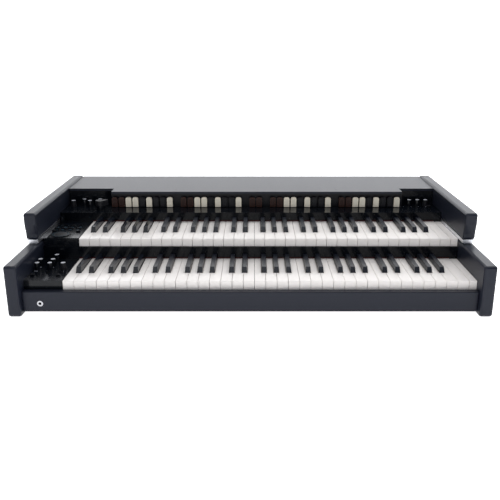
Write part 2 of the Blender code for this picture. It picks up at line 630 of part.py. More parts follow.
def black_key_mesh(name, back):
    """Makes a black key as a solid, its middle at x 0 and its fulcrum at the origin."""
    front = -PIVOT_BACK + WHITE_HEAD_L + NOTCH_CLEAR
    top = PIVOT_DROP
    bottom = top - KEY_H
    raised_back = -PIVOT_BACK + KEY_VISIBLE - SLIP_CLEAR
    ridge = top + BLACK_RISE
    side = [(front, bottom), (back, bottom), (back, top), (raised_back, top), (raised_back, ridge)]
    side += arc((front + BLACK_SLOPE + KEY_ROUND, ridge - KEY_ROUND), KEY_ROUND, 90, 150, 2)
    side += [(front, top)]
    mesh = prism(name, [side], -BLACK_W / 2, BLACK_W / 2, "X")
    for vertex in mesh.vertices:
        share = max(0.0, vertex.co.z - top) / BLACK_RISE
        vertex.co.x *= 1.0 + share * (BLACK_TOP_W / BLACK_W - 1.0)
    return mesh


def hollow(mesh):
    """Opens a key's underside and gives the rest a moulded wall."""
    low = min(vertex.co.z for vertex in mesh.vertices)
    shape = bmesh.new()
    shape.from_mesh(mesh)
    under = [face for face in shape.faces if all(abs(v.co.z - low) < 1e-6 for v in face.verts)]
    bmesh.ops.delete(shape, geom=under, context="FACES")
    return mesh_of(shape, mesh.name)


def build_keybed(manual, front_y, top_z):
    """Makes one manual: its playing keys, and the tray with its posts, rod and fixed keys."""
    fulcrum_y = front_y + PIVOT_BACK
    fulcrum_z = top_z - PIVOT_DROP
    tray_z = top_z - ACTION_H
    flange_y = front_y + TRAY_SETBACK
    wall_y = fulcrum_y + ROD_SEAT
    section = [(flange_y, tray_z), (wall_y + TRAY_T, tray_z), (wall_y + TRAY_T, top_z - PIVOT_DROP / 4),
               (wall_y, top_z - PIVOT_DROP / 4), (wall_y, tray_z + TRAY_T),
               (flange_y + TRAY_T, tray_z + TRAY_T), (flange_y + TRAY_T, tray_z + TRAY_FLANGE_H),
               (flange_y, tray_z + TRAY_FLANGE_H)]
    tray = piece(f"{manual}_keybed", prism(f"{manual}_keybed", [section], -SPAN_X, SPAN_X, "X"), STEEL)
    rod = turned("fulcrum_rod", [(0, OCTAVE_W), (ROD_R, OCTAVE_W), (ROD_R, 0), (0, 0)], 12)
    rod.transform(Matrix.Rotation(math.radians(90), 4, "Y"))
    combine(tray, shaper(f"{manual}_rod", rod, (KEYS_X, fulcrum_y, fulcrum_z)), "UNION")
    rod_room = turned("rod_room", [(0, OCTAVE_W + CHEEK_T), (ROD_R + GAP, OCTAVE_W + CHEEK_T),
                                   (ROD_R + GAP, -CHEEK_T), (0, -CHEEK_T)], 12)
    rod_room.transform(Matrix.Rotation(math.radians(90), 4, "Y"))
    room = shaper(f"{manual}_rod_room", rod_room, (KEYS_X, fulcrum_y, fulcrum_z))

    travel = math.tan(math.radians(KEY_PRESS_DEG))
    white_y = front_y + POST_IN
    black_y = front_y + WHITE_HEAD_L + POST_IN
    white_stop = top_z - KEY_WALL - travel * (PIVOT_BACK - POST_IN) - POST_CLEAR
    black_stop = (top_z + BLACK_RISE - KEY_WALL
                  - travel * (PIVOT_BACK - WHITE_HEAD_L - POST_IN) - POST_CLEAR)
    posts = []
    for step, letter in enumerate("cdefgab"):
        middle = KEYS_X + (step + 0.5) * WHITE_PITCH
        key = piece(f"{manual}_key_{letter}", PLAYING_WHITES[step], IVORY, (middle, fulcrum_y, fulcrum_z))
        add_wall(key, room)
        posts.append(((middle - WHITE_POST_W / 2, middle + WHITE_POST_W / 2),
                      (white_y, white_y + POST_T), (tray_z + FUSE, white_stop)))
    for step, letter in ((0, "c"), (1, "d"), (3, "f"), (4, "g"), (5, "a")):
        middle = KEYS_X + black_middle(step)
        key = piece(f"{manual}_key_{letter}_sharp", PLAYING_BLACK, EBONY, (middle, fulcrum_y, fulcrum_z))
        add_wall(key, room)
        posts.append(((middle - BLACK_POST_W / 2, middle + BLACK_POST_W / 2),
                      (black_y, black_y + POST_T), (tray_z + FUSE, black_stop)))
    combine(tray, shaper(f"{manual}_posts", blocks(f"{manual}_posts", posts)), "UNION")

    place = Matrix.Translation((KEYS_X, fulcrum_y, fulcrum_z))
    combine(tray, shaper(f"{manual}_fixed_keys", FIXED_KEYS, place.translation), "UNION")
    block_x = (KEYS_X + KEYS_W + KEY_END_CLEAR, SPAN_X - GAP)
    block = (block_x, (front_y, front_y + KEY_VISIBLE - GAP), (tray_z + TRAY_T / 2, top_z))
    combine(tray, shaper(f"{manual}_end_block", blocks("end_block", [block])), "UNION")
    return tray


def add_wall(key, room):
    """Gives a key its moulded wall and the open seat that hooks on the fulcrum rod."""
    wall = key.modifiers.new("wall", "SOLIDIFY")
    wall.thickness = KEY_WALL
    wall.offset = -1.0
    wall.use_even_offset = True
    combine(key, room, "DIFFERENCE")


def from_left(front_y, *places):
    """Turns places measured from the inner left wall and a front edge into world ones."""
    return [(-INNER_X + across, front_y + back) for across, back in places]


def from_right(front_y, *places):
    """Turns places measured from the inner right wall and a front edge into world ones."""
    return [(INNER_X - across, front_y + back) for across, back in places]


def build_side_panel(manual, front_y, top_z, knobs, playing, buttons):
    """Makes the left control panel of a manual: an open-bottomed case with its fixed controls."""
    base_z = top_z - ACTION_H + TRAY_FLANGE_H + GAP
    face_z = top_z + SIDE_PANEL_PROUD
    shape = bmesh.new()
    add_block(shape, (-SPAN_X, KEYS_X - KEY_END_CLEAR),
              (front_y, front_y + KEY_VISIBLE - GAP), (base_z, face_z))
    under = [face for face in shape.faces if all(abs(v.co.z - base_z) < 1e-6 for v in face.verts)]
    bmesh.ops.delete(shape, geom=under, context="FACES")
    panel = piece(f"{manual}_side_panel", mesh_of(shape, f"{manual}_side_panel"), GLOSS)
    wall = panel.modifiers.new("wall", "SOLIDIFY")
    wall.thickness = PANEL_T
    wall.offset = -1.0
    wall.use_even_offset = True
    add_controls(panel, manual, knobs, playing, buttons, face_z)
    return panel


def add_controls(panel, name, knobs, playing, buttons, face_z):
    """Joins a panel's fixed knobs and buttons to it, and bores the holes for the moving knobs."""
    if knobs:
        places = [(KNOB, Matrix.Translation((x, y, face_z))) for x, y in knobs]
        combine(panel, shaper(f"{name}_fixed_knobs", gathered("fixed_knobs", places)), "UNION")
    if buttons:
        limits = [((x - BUTTON_W / 2, x + BUTTON_W / 2), (y - BUTTON_D / 2, y + BUTTON_D / 2),
                   (face_z - FUSE, face_z + BUTTON_H)) for x, y in buttons]
        combine(panel, shaper(f"{name}_fixed_buttons", blocks("fixed_buttons", limits)), "UNION")
    if playing:
        hole = turned("shaft_hole", [(0, PANEL_T), (KNOB_SHAFT_R + SHAFT_CLEAR, PANEL_T),
                                     (KNOB_SHAFT_R + SHAFT_CLEAR, -2 * PANEL_T), (0, -2 * PANEL_T)], 12)
        places = [(hole, Matrix.Translation((x, y, face_z))) for x, y in playing]
        combine(panel, shaper(f"{name}_shaft_holes", gathered("shaft_holes", places)), "DIFFERENCE")


def build_knob(name, place, face_z):
    """Makes a turning knob with the shaft that passes into its panel."""
    profile = [(0, KNOB_H), (KNOB_TOP_R, KNOB_H), (KNOB_R, GAP), (KNOB_SHAFT_R, GAP),
               (KNOB_SHAFT_R, -KNOB_SHAFT_L), (0, -KNOB_SHAFT_L)]
    piece(name, turned(name, profile, 16), PLASTIC, (*place, face_z), smooth=True)


def build_deck():
    """Makes the control panel above the upper manual and what stands on it."""
    back_y = UNIT_BACK_Y + RISER_T
    low = UPPER_TOP_Z + RAIL_CLEAR
    outline = [(FASCIA_Y, low), (FASCIA_Y + PANEL_T, low), (FASCIA_Y + PANEL_T, DECK_Z - PANEL_T),
               (back_y, DECK_Z - PANEL_T), (back_y, DECK_Z), (FASCIA_Y - FASCIA_LIP, DECK_Z),
               (FASCIA_Y - FASCIA_LIP, DECK_Z - PANEL_T - FUSE), (FASCIA_Y, DECK_Z - PANEL_T - 2 * FUSE)]
    deck = piece("control_panel", prism("control_panel", [outline], -SPAN_X, SPAN_X, "X"), GLOSS)
    riser_y = CAP_Y + COVER_SIDE_CUT + COVER_T + GAP
    riser_z = (DECK_Z - PANEL_T / 2, COVER_UNDER_Z - GAP)
    risers = [((-SPAN_X + GAP, UNIT_X[0] - GAP), (riser_y, riser_y + RISER_T), riser_z),
              ((UNIT_X[1] + GAP, SPAN_X - GAP), (riser_y, riser_y + RISER_T), riser_z)]
    combine(deck, shaper("deck_risers", blocks("deck_risers", risers)), "UNION")
    knobs = from_left(FASCIA_Y, *DECK_LEFT_KNOBS) + from_right(FASCIA_Y, *DECK_RIGHT_KNOBS)
    playing = from_left(FASCIA_Y, DECK_LEFT_PLAYING_KNOB) + from_right(FASCIA_Y, DECK_RIGHT_PLAYING_KNOB)
    add_controls(deck, "deck", knobs, playing, from_right(FASCIA_Y, *DECK_RIGHT_BUTTONS), DECK_Z)
    build_knob("left_knob", playing[0], DECK_Z)
    build_knob("right_knob", playing[1], DECK_Z)
    neck = turned("moon_neck", [(0, MOON_NECK_H), (MOON_NECK_R, MOON_NECK_H), (MOON_NECK_R, -FUSE),
                                (0, -FUSE)], 16)
    combine(deck, shaper("moon_base", neck, (*MOON_PLACE, DECK_Z)), "UNION")
    hole_r = KNOB_SHAFT_R + SHAFT_CLEAR
    hole_top = MOON_NECK_H + PANEL_T
    shaft_hole = turned("moon_hole", [(0, hole_top), (hole_r, hole_top), (hole_r, -2 * PANEL_T),
                                      (0, -2 * PANEL_T)], 12)
    combine(deck, shaper("moon_shaft_hole", shaft_hole, (*MOON_PLACE, DECK_Z)), "DIFFERENCE")
    x, y = from_right(FASCIA_Y, DECK_PLAYING_BUTTON)[0]
    room = BUTTON_STEM_W / 2 + SHAFT_CLEAR
    hole = blocks("button_hole", [((x - room, x + room), (y - room, y + room),
                                   (DECK_Z - 2 * PANEL_T, DECK_Z + PANEL_T))])
    combine(deck, shaper("button_hole", hole), "DIFFERENCE")


def build_switches():
    """Makes the half-moon rotary-speed switch and the playing button."""
    tip = math.radians(MOON_TIP_DEG)
    plan = arc((0.0, 0.0), MOON_R, MOON_TIP_DEG + 55, MOON_TIP_DEG + 305, 14)
    plan += [(MOON_TIP_R * math.cos(tip - 0.12), MOON_TIP_R * math.sin(tip - 0.12)),
             (MOON_TIP_R * math.cos(tip + 0.12), MOON_TIP_R * math.sin(tip + 0.12))]
    under = MOON_NECK_H + GAP
    moon = piece("rotary_speed_switch", prism("moon", [plan], under, under + MOON_H, "Z"), PLASTIC,
                 (*MOON_PLACE, DECK_Z))
    shaft = turned("moon_shaft", [(0, under + FUSE), (KNOB_SHAFT_R, under + FUSE),
                                  (KNOB_SHAFT_R, -KNOB_SHAFT_L), (0, -KNOB_SHAFT_L)], 12)
    combine(moon, shaper("moon_shaft", shaft, (*MOON_PLACE, DECK_Z)), "UNION")
    x, y = from_right(FASCIA_Y, DECK_PLAYING_BUTTON)[0]
    cap_z = BUTTON_TRAVEL + GAP
    button = piece("effect_button", blocks("effect_button", [
        ((-BUTTON_W / 2, BUTTON_W / 2), (-BUTTON_D / 2, BUTTON_D / 2), (cap_z, cap_z + BUTTON_H))]),
        PLASTIC, (x, y, DECK_Z))
    half = BUTTON_STEM_W / 2
    stem = blocks("button_stem", [((-half, half), (-half, half), (-BUTTON_STEM_L, cap_z + FUSE))])
    combine(button, shaper("button_stem", stem, (x, y, DECK_Z)), "UNION")


def cap_mesh():
    """Makes a drawbar's cap: a flat-bottomed plate with a rounded head, its face at y 0."""
    half = CAP_W / 2
    outline = [(-half, 0.0), (half, 0.0)]
    outline += arc((half - CAP_ROUND, CAP_H - CAP_ROUND), CAP_ROUND, 0, 90, 3)
    outline += arc((-half + CAP_ROUND, CAP_H - CAP_ROUND), CAP_ROUND, 90, 180, 3)
    return prism("drawbar_cap", [outline], 0.0, CAP_T, "Y")


def arm_mesh():
    """Makes a drawbar's steel arm, with a notch for each stop and the tab that ends its travel."""
    middle = CAP_H / 2
    low, high = middle - STEM_H / 2 + FUSE, middle + STEM_H / 2 - FUSE
    start = CAP_T / 2
    first = CAP_T + STEM_L + UNIT_T + NOTCH_D
    end = CAP_T + STEM_L + GAP + UNIT_SHIELD_L + DRAWBAR_TRAVEL + SLOT_CLEAR
    outline = [(start, low), (end + ARM_STOP_H, low), (end + ARM_STOP_H, high + ARM_STOP_H),
               (end, high + ARM_STOP_H), (end, high)]
    pitch = DRAWBAR_TRAVEL / DRAWBAR_STOPS
    for stop in range(DRAWBAR_STOPS, -1, -1):
        y = first + stop * pitch + NOTCH_D
        outline += [(y + NOTCH_D, high), (y, high - NOTCH_D), (y - NOTCH_D, high)]
    outline += [(start, high)]
    return prism("drawbar_arm", [outline], -ARM_T / 2, ARM_T / 2, "X")


def build_drawbars():
    """Makes the drawbar unit with its fixed drawbars, and the first set of nine that slides."""
    shape = bmesh.new()
    base_z = DECK_Z + GAP
    add_block(shape, UNIT_X, (UNIT_Y, UNIT_BACK_Y), (base_z, base_z + UNIT_H))
    under = [face for face in shape.faces if all(abs(v.co.z - base_z) < 1e-6 for v in face.verts)]
    bmesh.ops.delete(shape, geom=under, context="FACES")
    unit = piece("drawbar_unit", mesh_of(shape, "drawbar_unit"), JET)
    wall = unit.modifiers.new("wall", "SOLIDIFY")
    wall.thickness = UNIT_T
    wall.offset = -1.0
    wall.use_even_offset = True
    half_t = ARM_T / 2 + SLOT_CLEAR
    half_h = STEM_H / 2 + SLOT_CLEAR
    slots, stems, caps = [], [], []
    for slot in range(DRAWBAR_SLOTS):
        if slot in DRAWBAR_SPACES:
            continue
        x = FIRST_DRAWBAR_X + slot * DRAWBAR_PITCH
        if slot < PLAYING_DRAWBARS:
            slots.append(((x - half_t, x + half_t), (UNIT_Y - UNIT_T, UNIT_BACK_Y + UNIT_T),
                          (ARM_Z - half_h, ARM_Z + half_h)))
            continue
        caps.append((CAP, Matrix.Translation((x, CAP_Y, CAP_Z))))
        stems.append(((x - STEM_W / 2, x + STEM_W / 2), (CAP_Y + CAP_T / 2, UNIT_Y + FUSE),
                      (ARM_Z - STEM_H / 2, ARM_Z + STEM_H / 2)))
    combine(unit, shaper("unit_slots", blocks("unit_slots", slots)), "DIFFERENCE")
    combine(unit, shaper("unit_stems", blocks("unit_stems", stems)), "UNION")
    combine(unit, shaper("unit_caps", gathered("unit_caps", caps)), "UNION")
    names = ("16", "5_1_3", "8", "4", "2_2_3", "2", "1_3_5", "1_1_3", "1")
    colors = (BROWN, BROWN, CREAM, CREAM, JET, CREAM, JET, JET, CREAM)
    middle = CAP_H / 2
    arm = arm_mesh()
    stem = blocks("stem", [((-STEM_W / 2, STEM_W / 2), (CAP_T / 2, CAP_T + STEM_L),
                            (middle - STEM_H / 2, middle + STEM_H / 2))])
    for index, (name, color) in enumerate(zip(names, colors)):
        place = (FIRST_DRAWBAR_X + index * DRAWBAR_PITCH, CAP_Y, CAP_Z)
        drawbar = piece(f"drawbar_{name}", CAP.copy(), color, place)
        combine(drawbar, shaper(f"arm_{name}", arm, place), "UNION")
        combine(drawbar, shaper(f"stem_{name}", stem, place), "UNION")


# Meshes that several pieces share
knob_profile = [(0, KNOB_H), (KNOB_TOP_R, KNOB_H), (KNOB_R, -FUSE), (0, -FUSE)]
KNOB = turned("fixed_knob", knob_profile, 12)
CAP = cap_mesh()
PLAYING_WHITES = [hollow(white_key_mesh(f"white_key_{letter}", step, KEY_TAIL))
                  for step, letter in enumerate("cdefgab")]
PLAYING_BLACK = hollow(black_key_mesh("black_key", KEY_TAIL))
JOINED = ROD_SEAT + TRAY_T / 2
whites = [white_key_mesh("fixed_white", step, JOINED) for step in range(7)]
keys = [(whites[i % 7], Matrix.Translation(((i + 0.5) * WHITE_PITCH, 0, 0)))
        for i in range(7, WHITE_KEYS - 1)]
top_c = white_key_mesh("top_white", 0, JOINED, top_key=True)
keys.append((top_c, Matrix.Translation(((WHITE_KEYS - 0.5) * WHITE_PITCH, 0, 0))))
black = black_key_mesh("fixed_black", JOINED)
for octave in range(1, WHITE_KEYS // 7):
    for step in (0, 1, 3, 4, 5):
        keys.append((black, Matrix.Translation((octave * OCTAVE_W + black_middle(step), 0, 0))))
FIXED_KEYS = gathered("fixed_keys", keys)

build_cheeks()
build_case()
build_back()
build_sockets()
build_inlet()
lower_tray = build_keybed("lower", LOWER_FRONT_Y, LOWER_TOP_Z)
combine(lower_tray, bpy.data.objects["jack_room"], "DIFFERENCE")
build_keybed("upper", UPPER_FRONT_Y, UPPER_TOP_Z)

lower_playing = from_left(LOWER_FRONT_Y, LOWER_PLAYING_KNOB)
build_side_panel("lower", LOWER_FRONT_Y, LOWER_TOP_Z, from_left(LOWER_FRONT_Y, *LOWER_KNOBS),
                 lower_playing, from_left(LOWER_FRONT_Y, *LOWER_BUTTONS))
build_knob("lower_knob", lower_playing[0], LOWER_TOP_Z + SIDE_PANEL_PROUD)
upper_places = [(x, y) for y in UPPER_BUTTON_ROWS for x in UPPER_BUTTON_COLUMNS] + list(UPPER_BUTTONS)
upper_panel = build_side_panel("upper", UPPER_FRONT_Y, UPPER_TOP_Z, from_left(UPPER_FRONT_Y, UPPER_KNOB),
                               [], from_left(UPPER_FRONT_Y, *upper_places))
dial = turned("dial", [(0, DIAL_H), (DIAL_R, DIAL_H), (DIAL_R, -FUSE), (0, -FUSE)], 24)
dial_x, dial_y = from_left(UPPER_FRONT_Y, DIAL_PLACE)[0]
combine(upper_panel, shaper("dial", dial, (dial_x, dial_y, UPPER_TOP_Z + SIDE_PANEL_PROUD)), "UNION")
build_deck()
build_switches()
build_drawbars()
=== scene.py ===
"""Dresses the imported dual-manual organ and lights it for the camera of the photograph.

Places are worked out from the frame's own nodes, in metres: +X to the player's right, +Z up.
"""
import math

import bpy
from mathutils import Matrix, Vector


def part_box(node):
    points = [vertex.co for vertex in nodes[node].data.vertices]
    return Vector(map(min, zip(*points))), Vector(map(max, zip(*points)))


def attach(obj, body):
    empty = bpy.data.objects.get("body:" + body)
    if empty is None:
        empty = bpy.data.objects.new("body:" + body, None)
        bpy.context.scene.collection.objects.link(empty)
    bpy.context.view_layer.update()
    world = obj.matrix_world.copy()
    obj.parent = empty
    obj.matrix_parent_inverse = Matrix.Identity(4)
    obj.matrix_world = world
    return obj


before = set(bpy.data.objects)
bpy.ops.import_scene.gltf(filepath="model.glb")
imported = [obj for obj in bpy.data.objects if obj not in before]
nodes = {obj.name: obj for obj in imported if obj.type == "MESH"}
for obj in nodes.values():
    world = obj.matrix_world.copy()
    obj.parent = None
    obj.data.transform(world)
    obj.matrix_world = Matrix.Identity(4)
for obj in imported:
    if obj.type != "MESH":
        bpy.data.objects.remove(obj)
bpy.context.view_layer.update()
scene = bpy.context.scene

# Camera. It stands 1.24 m before the case and looks down by about 18 degrees,
# as the edges of the keyboards and of the cheeks give it.
CAMERA_FROM_CASE = 1.2442
CAMERA_HEIGHT = 0.5477
CAMERA_X = 0.00625
CAMERA_PITCH_DEG = 17.85
CAMERA_LENS = 47.16
CAMERA_SENSOR_W = 36.0
CAMERA_SHIFT = -0.0068
PICTURE_SIDE = 500
case_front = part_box("lower_cheek_left")[0].y
camera_data = bpy.data.cameras.new("camera")
camera_data.sensor_width = CAMERA_SENSOR_W
camera_data.lens = CAMERA_LENS
camera_data.shift_x = CAMERA_SHIFT
camera = bpy.data.objects.new("camera", camera_data)
camera.location = (CAMERA_X, case_front - CAMERA_FROM_CASE, CAMERA_HEIGHT)
camera.rotation_euler = (math.radians(90.0 - CAMERA_PITCH_DEG), 0.0, 0.0)
scene.collection.objects.link(camera)
scene.camera = camera
scene.render.resolution_x = PICTURE_SIDE
scene.render.resolution_y = PICTURE_SIDE
scene.view_settings.view_transform = "Standard"
scene.render.engine = "CYCLES"
scene.cycles.samples = 96

# Surroundings. A white floor and a white backdrop that shine by themselves, a faint blue
# room light, and three wide soft lamps: overhead, behind on the right, and in front.
ROOM_COLOR = (0.80, 0.86, 1.0, 1.0)
ROOM_STRENGTH = 0.30
WHITE = (1.0, 1.0, 1.0, 1.0)
FLOOR_SIDE = 12.0
FLOOR_Z = -0.001
BACKDROP_SIDE = 16.0
BACKDROP_Y = 5.0
world = bpy.data.worlds.new("white_room")
scene.world = world
world.use_nodes = True
world.node_tree.nodes["Background"].inputs["Color"].default_value = ROOM_COLOR
world.node_tree.nodes["Background"].inputs["Strength"].default_value = ROOM_STRENGTH
for light_name, size, place, turn_deg, power in (
        ("top_light", 2.2, (0.3, 0.2, 1.9), (0.0, 0.0, 0.0), 16.0),
        ("right_light", 1.4, (1.7, 0.9, 1.2), (-35.0, 50.0, 0.0), 14.0),
        ("front_light", 1.6, (-0.4, -1.9, 1.4), (52.0, 0.0, -10.0), 11.0)):
    lamp = bpy.data.lights.new(light_name, "AREA")
    lamp.size = size
    lamp.energy = power
    lamp_object = bpy.data.objects.new(light_name, lamp)
    lamp_object.location = place
    lamp_object.rotation_euler = [math.radians(angle) for angle in turn_deg]
    scene.collection.objects.link(lamp_object)
bpy.ops.mesh.primitive_plane_add(size=FLOOR_SIDE, location=(0.0, 0.0, FLOOR_Z))
floor = bpy.context.object
floor.name = "floor"
floor_paint = bpy.data.materials.new("floor_white")
floor_paint.use_nodes = True
floor_shader = floor_paint.node_tree.nodes["Principled BSDF"]
floor_shader.inputs["Base Color"].default_value = WHITE
floor_shader.inputs["Roughness"].default_value = 0.9
floor_shader.inputs["Specular IOR Level"].default_value = 0.0
floor_shader.inputs["Emission Color"].default_value = WHITE
floor_shader.inputs["Emission Strength"].default_value = 1.0
floor.data.materials.append(floor_paint)
bpy.ops.mesh.primitive_plane_add(size=BACKDROP_SIDE, location=(0.0, BACKDROP_Y, 0.0),
                                 rotation=(math.radians(90.0), 0.0, 0.0))
backdrop = bpy.context.object
backdrop.name = "backdrop"
backdrop.data.materials.append(floor_paint)

# Case. The cheeks, front rail, top cover and back are boards and sheet in one satin
# blue-grey lacquer. A satin aluminium strip stands between the two cheeks of each side.
BRIGHT_SPECULAR = 0.4
DARK_SPECULAR = 0.2
DARK_UP_TO = 0.1
COAT_ROUGHNESS = 0.08
GRAIN_DETAIL = 4.0
GRAIN_DEPTH = 0.0002


def finish(name, color, roughness, metallic=0.0, coat=0.0, grain=0.0, grain_scale=60.0):
    """Makes a finish; grain varies its roughness and its surface over Object coordinates."""
    material = bpy.data.materials.new(name)
    material.use_nodes = True
    tree = material.node_tree
    shader = tree.nodes["Principled BSDF"]
    shader.inputs["Base Color"].default_value = (*color, 1.0)
    shader.inputs["Roughness"].default_value = roughness
    shader.inputs["Metallic"].default_value = metallic
    shader.inputs["Coat Weight"].default_value = coat
    specular = BRIGHT_SPECULAR if max(color) > DARK_UP_TO else DARK_SPECULAR
    shader.inputs["Specular IOR Level"].default_value = specular
    shader.inputs["Coat Roughness"].default_value = COAT_ROUGHNESS
    if grain:
        place = tree.nodes.new("ShaderNodeTexCoord")
        noise = tree.nodes.new("ShaderNodeTexNoise")
        noise.inputs["Scale"].default_value = grain_scale
        noise.inputs["Detail"].default_value = GRAIN_DETAIL
        tree.links.new(place.outputs["Object"], noise.inputs["Vector"])
        spread = tree.nodes.new("ShaderNodeMapRange")
        spread.inputs["To Min"].default_value = max(0.0, roughness - grain)
        spread.inputs["To Max"].default_value = min(1.0, roughness + grain)
        tree.links.new(noise.outputs["Fac"], spread.inputs["Value"])
        tree.links.new(spread.outputs["Result"], shader.inputs["Roughness"])
        bump = tree.nodes.new("ShaderNodeBump")
        bump.inputs["Strength"].default_value = grain / 2
        bump.inputs["Distance"].default_value = GRAIN_DEPTH
        tree.links.new(noise.outputs["Fac"], bump.inputs["Height"])
        tree.links.new(bump.outputs["Normal"], shader.inputs["Normal"])
    return material


def dress(name, material):
    """Gives a frame node its finish."""
    for material_slot in nodes[name].material_slots:
        material_slot.material = material


cabinet = finish("satin_cabinet", (0.0095, 0.0115, 0.020), roughness=0.36, coat=0.04,
                 grain=0.05, grain_scale=420.0)
aluminium = finish("satin_aluminium", (0.72, 0.73, 0.76), roughness=0.32, metallic=1.0,
                   grain=0.06, grain_scale=300.0)
for part in ("lower_cheek_left", "lower_cheek_right", "upper_cheek_left", "upper_cheek_right",
             "front_rail", "top_cover", "back_panel"):
    dress(part, cabinet)
for part in ("cheek_strip_left", "cheek_strip_right"):
    dress(part, aluminium)

# Gloss panels. The rail between the manuals, the side panel of each manual and the control
# panel are gloss black mouldings. The controls that do not move are one piece with them.
gloss = finish("gloss_panel", (0.002, 0.003, 0.005), roughness=0.16, coat=0.08, grain=0.02)
for part in ("name_rail", "lower_side_panel", "upper_side_panel", "control_panel"):
    dress(part, gloss)

# Inside. A fibreboard bottom carries the green main board, with its output sockets, and a
# power supply in a can of rolled steel. They are guessed, as the case hides them.
fibre = finish("fibreboard", (0.10, 0.075, 0.05), roughness=0.80, grain=0.12, grain_scale=180.0)
laminate = finish("board_laminate", (0.02, 0.12, 0.05), roughness=0.45, grain=0.08)
steel = finish("rolled_steel", (0.42, 0.43, 0.45), roughness=0.38, metallic=1.0, grain=0.10,
               grain_scale=260.0)
dress("bottom_board", fibre)
dress("main_board", laminate)
dress("power_supply", steel)

# Sockets and moving controls. The headphone socket in the front rail is bright metal. The
# mains inlet with its rocker, the knobs, button and half-moon switch are black plastic.
chrome = finish("bright_chrome", (0.42, 0.42, 0.44), roughness=0.22, metallic=1.0)
plastic = finish("black_plastic", (0.011, 0.011, 0.013), roughness=0.34, grain=0.06)
dress("headphone_jack", chrome)
for part in ("power_inlet", "power_switch", "rotary_speed_switch", "effect_button", "left_knob",
             "right_knob", "lower_knob"):
    dress(part, plastic)

# Keys. The playing octaves are hollow ivory and black mouldings. The keys above them are
# part of each keybed, so one finish tells its tray, white keys and black keys by height.
IVORY = (0.95, 0.90, 0.85)
TRAY_GREY = (0.10, 0.10, 0.11)
FIXED_BLACK = (0.006, 0.008, 0.014)
WHITE_KEY_H = 0.0205
OVER_WHITE_KEYS = 0.0002
STEPPED_ROUGHNESS = 0.34
MIX_FIRST, MIX_SECOND, MIX_RESULT = 6, 7, 2


def stepped_finish(name, *rules):
    """Makes a finish that changes along X, Y or Z: each rule is (axis, from, colour)."""
    first_color = (*rules[0][2], 1.0)
    material = finish(name, rules[0][2], STEPPED_ROUGHNESS)
    tree = material.node_tree
    place = tree.nodes.new("ShaderNodeTexCoord")
    split = tree.nodes.new("ShaderNodeSeparateXYZ")
    tree.links.new(place.outputs["Object"], split.inputs["Vector"])
    mixed = None
    for axis, start, color in rules[1:]:
        step = tree.nodes.new("ShaderNodeMath")
        step.operation = "GREATER_THAN"
        step.inputs[1].default_value = start
        tree.links.new(split.outputs[axis], step.inputs[0])
        mix = tree.nodes.new("ShaderNodeMix")
        mix.data_type = "RGBA"
        tree.links.new(step.outputs["Value"], mix.inputs["Factor"])
        if mixed is None:
            mix.inputs[MIX_FIRST].default_value = first_color
        else:
            tree.links.new(mixed.outputs[MIX_RESULT], mix.inputs[MIX_FIRST])
        mix.inputs[MIX_SECOND].default_value = (*color, 1.0)
        mixed = mix
    shader = tree.nodes["Principled BSDF"]
    tree.links.new(mixed.outputs[MIX_RESULT], shader.inputs["Base Color"])
    return material


ivory = finish("ivory_key", IVORY, roughness=0.22, coat=0.3, grain=0.03)
ebony = finish("ebony_key", (0.003, 0.005, 0.010), roughness=0.16, coat=0.15, grain=0.03)
for manual in ("lower", "upper"):
    for letter in "cdefgab":
        dress(f"{manual}_key_{letter}", ivory)
    for letter in "cdfga":
        dress(f"{manual}_key_{letter}_sharp", ebony)
    key_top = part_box(f"{manual}_key_c")[1].z
    dress(f"{manual}_keybed", stepped_finish(f"{manual}_bed_keys", ("Z", 0.0, TRAY_GREY),
                                             ("Z", key_top - WHITE_KEY_H, IVORY),
                                             ("Z", key_top + OVER_WHITE_KEYS, FIXED_BLACK)))

# Drawbars. Moulded plastic caps on steel arms. The first set slides; the others are part of
# the drawbar unit, whose finish takes each cap's colour from its place along the row, and
# is black behind the caps.
CAP_DEPTH = 0.0125
BAR_NAMES = ("16", "5_1_3", "8", "4", "2_2_3", "2", "1_3_5", "1_1_3", "1")
SET_ORDER = ("brown", "brown", "cream", "cream", "black", "cream", "black", "black", "cream")
FIXED_SETS_START = (10, 23, 33)
PEDAL_BARS = (20, 21)
cap_colors = {"cream": (0.93, 0.85, 0.69), "brown": (0.040, 0.016, 0.011),
              "black": (0.007, 0.007, 0.009)}
cap_finish = {"cream": finish("cream_cap", cap_colors["cream"], roughness=0.34, grain=0.05),
              "brown": finish("brown_cap", cap_colors["brown"], roughness=0.32, grain=0.05),
              "black": finish("black_cap", cap_colors["black"], roughness=0.32, grain=0.05)}
for bar, color_name in zip(BAR_NAMES, SET_ORDER):
    dress(f"drawbar_{bar}", cap_finish[color_name])
first_low, first_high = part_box("drawbar_16")
bar_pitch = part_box("drawbar_5_1_3")[0].x - first_low.x
bar_middle = (first_low.x + first_high.x) / 2
fixed_bars = [(start + i, color_name) for start in FIXED_SETS_START
              for i, color_name in enumerate(SET_ORDER)]
row = [("X", bar_middle + (FIXED_SETS_START[0] - 0.5) * bar_pitch, cap_colors["black"])]
row += [("X", bar_middle + (index - 0.5) * bar_pitch, cap_colors[color_name])
        for index, color_name in sorted([*fixed_bars, (PEDAL_BARS[0], "brown")])]
row.append(("Y", first_low.y + CAP_DEPTH, cap_colors["black"]))
dress("drawbar_unit", stepped_finish("cap_row", *row))

# Felt. A thin strip of dark-red felt is glued along the wall behind each manual, just above
# the keys. The control panel's wall stands back behind its lip.
FELT_H = 0.0012
FELT_FRONT = 0.0006
FELT_BACK = 0.0001
FELT_OVER_KEYS = 0.0015
FELT_FROM_PANEL = 0.001
FELT_FROM_BED_END = 0.018
FASCIA_LIP = 0.0012


